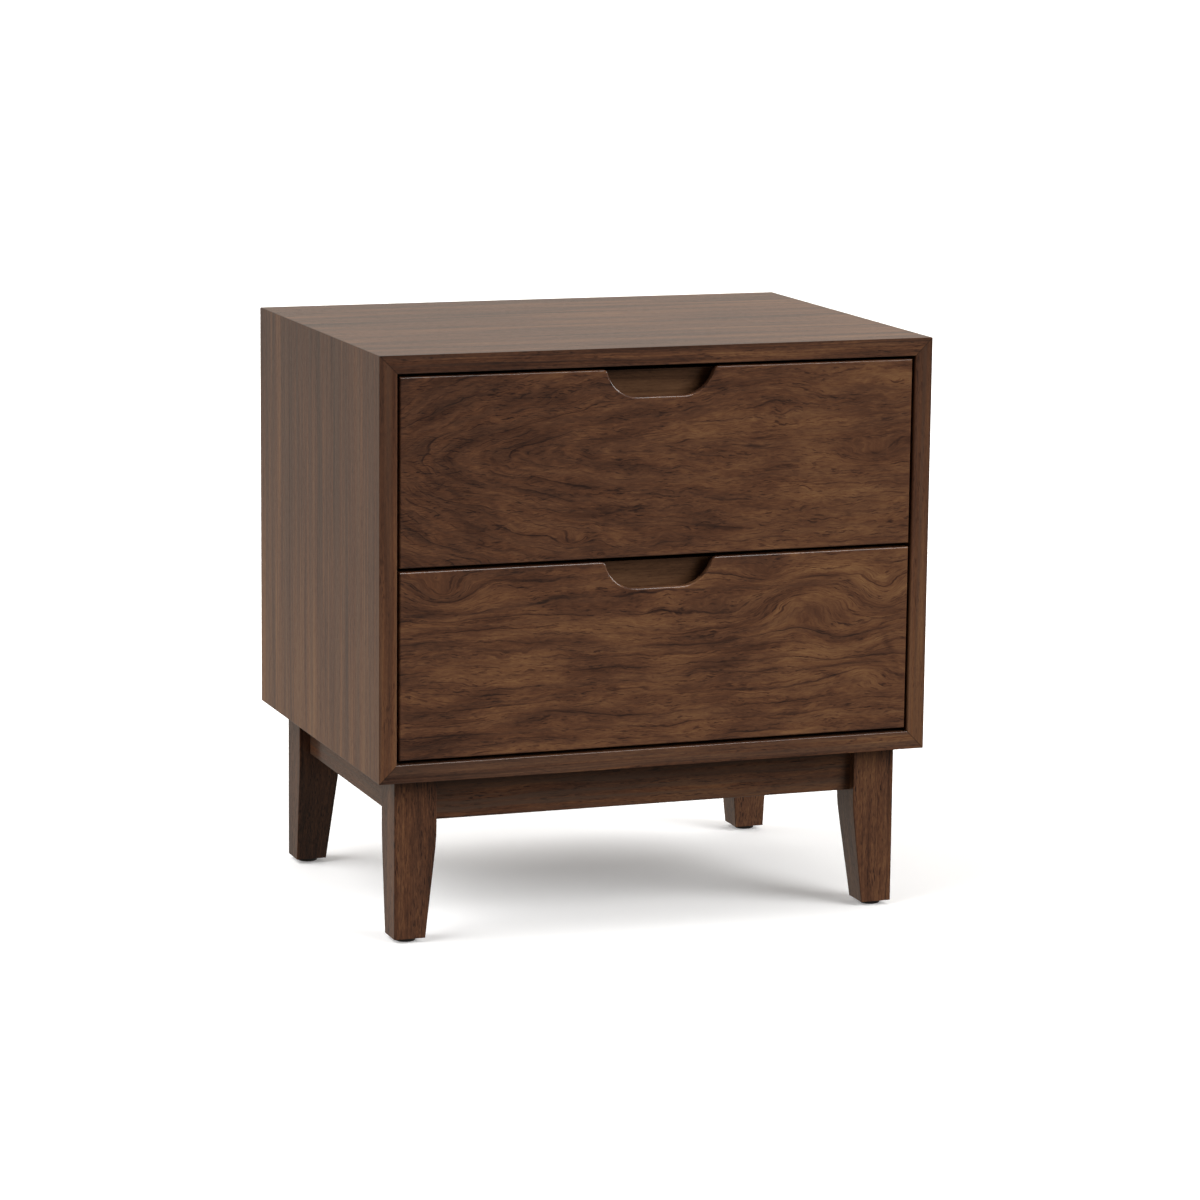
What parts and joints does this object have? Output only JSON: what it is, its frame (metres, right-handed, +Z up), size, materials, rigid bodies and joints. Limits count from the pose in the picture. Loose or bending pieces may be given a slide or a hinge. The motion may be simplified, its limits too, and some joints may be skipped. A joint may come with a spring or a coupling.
{
  "type": "nightstand with drawers",
  "caption": "Walnut nightstand: mitred case with inset drawers one above the other, finger notches in their top edges, on a base of tapered legs and aprons.",
  "frame": {"origin": "on the floor under the middle of the case", "axes": "+Z up, the drawer fronts face -Y, +X to the right of someone who stands before the drawers"},
  "size_m": [0.61, 0.45, 0.62],
  "materials": {
    "walnut_case": "satin lacquer",
    "walnut_fronts": "satin lacquer",
    "walnut_base": "satin lacquer",
    "drawer_wood": "matt oil",
    "drawer_bottoms": "matt",
    "back_board": "matt",
    "hidden_hardwood": "raw",
    "glide_plastic": "matt",
    "screw_steel": "zinc plated",
    "rail_steel": "zinc plated",
    "retainer_steel": "zinc plated",
    "ball_steel": "polished"
  },
  "bodies": {
    "cabinet": {"apron_front": "walnut_base", "apron_left": "walnut_base", "apron_rear": "walnut_base", "apron_right": "walnut_base", "back_panel": "back_board", "back_panel_screws": "screw_steel", "base_screws": "screw_steel", "bottom_panel": "walnut_case", "corner_blocks": "hidden_hardwood", "left_side_panel": "walnut_case", "leg_front_left": "walnut_base", "leg_front_right": "walnut_base", "leg_glides": "glide_plastic", "leg_rear_left": "walnut_base", "leg_rear_right": "walnut_base", "leg_screws": "screw_steel", "lower_cabinet_rail_screws": "screw_steel", "lower_left_cabinet_rail": "rail_steel", "lower_right_cabinet_rail": "rail_steel", "mitre_splines": "hidden_hardwood", "right_side_panel": "walnut_case", "top_panel": "walnut_case", "upper_cabinet_rail_screws": "screw_steel", "upper_left_cabinet_rail": "rail_steel", "upper_right_cabinet_rail": "rail_steel"},
    "upper_drawer": {"upper_box_back": "drawer_wood", "upper_box_bottom": "drawer_bottoms", "upper_box_front": "drawer_wood", "upper_drawer_front": "walnut_fronts", "upper_drawer_rail_screws": "screw_steel", "upper_front_screws": "screw_steel", "upper_left_box_side": "drawer_wood", "upper_left_drawer_rail": "rail_steel", "upper_right_box_side": "drawer_wood", "upper_right_drawer_rail": "rail_steel"},
    "upper_middle_rails": {"upper_left_middle_rail": "rail_steel", "upper_right_middle_rail": "rail_steel"},
    "upper_outer_ball_cages": {"upper_outer_balls": "ball_steel", "upper_outer_retainers": "retainer_steel"},
    "upper_inner_ball_cages": {"upper_inner_balls": "ball_steel", "upper_inner_retainers": "retainer_steel"},
    "lower_drawer": {"lower_box_back": "drawer_wood", "lower_box_bottom": "drawer_bottoms", "lower_box_front": "drawer_wood", "lower_drawer_front": "walnut_fronts", "lower_drawer_rail_screws": "screw_steel", "lower_front_screws": "screw_steel", "lower_left_box_side": "drawer_wood", "lower_left_drawer_rail": "rail_steel", "lower_right_box_side": "drawer_wood", "lower_right_drawer_rail": "rail_steel"},
    "lower_middle_rails": {"lower_left_middle_rail": "rail_steel", "lower_right_middle_rail": "rail_steel"},
    "lower_outer_ball_cages": {"lower_outer_balls": "ball_steel", "lower_outer_retainers": "retainer_steel"},
    "lower_inner_ball_cages": {"lower_inner_balls": "ball_steel", "lower_inner_retainers": "retainer_steel"}
  },
  "joints": [
    {"name": "upper_drawer_slide", "type": "slide", "parent": "cabinet", "child": "upper_drawer", "axis": [0, -1, 0], "range_m": [0, 0.38]},
    {"name": "upper_middle_rails_slide", "type": "slide", "parent": "cabinet", "child": "upper_middle_rails", "axis": [0, -1, 0], "range_m": [0, 0.19]},
    {"name": "upper_outer_ball_cages_slide", "type": "slide", "parent": "cabinet", "child": "upper_outer_ball_cages", "axis": [0, -1, 0], "range_m": [0, 0.095]},
    {"name": "upper_inner_ball_cages_slide", "type": "slide", "parent": "cabinet", "child": "upper_inner_ball_cages", "axis": [0, -1, 0], "range_m": [0, 0.285]},
    {"name": "lower_drawer_slide", "type": "slide", "parent": "cabinet", "child": "lower_drawer", "axis": [0, -1, 0], "range_m": [0, 0.38]},
    {"name": "lower_middle_rails_slide", "type": "slide", "parent": "cabinet", "child": "lower_middle_rails", "axis": [0, -1, 0], "range_m": [0, 0.19]},
    {"name": "lower_outer_ball_cages_slide", "type": "slide", "parent": "cabinet", "child": "lower_outer_ball_cages", "axis": [0, -1, 0], "range_m": [0, 0.095]},
    {"name": "lower_inner_ball_cages_slide", "type": "slide", "parent": "cabinet", "child": "lower_inner_ball_cages", "axis": [0, -1, 0], "range_m": [0, 0.285]}
  ],
  "couplings": [
    {"joint": "upper_middle_rails_slide", "follows": "upper_drawer_slide", "ratio": 0.5},
    {"joint": "upper_outer_ball_cages_slide", "follows": "upper_drawer_slide", "ratio": 0.25},
    {"joint": "upper_inner_ball_cages_slide", "follows": "upper_drawer_slide", "ratio": 0.75},
    {"joint": "lower_middle_rails_slide", "follows": "lower_drawer_slide", "ratio": 0.5},
    {"joint": "lower_outer_ball_cages_slide", "follows": "lower_drawer_slide", "ratio": 0.25},
    {"joint": "lower_inner_ball_cages_slide", "follows": "lower_drawer_slide", "ratio": 0.75}
  ]
}
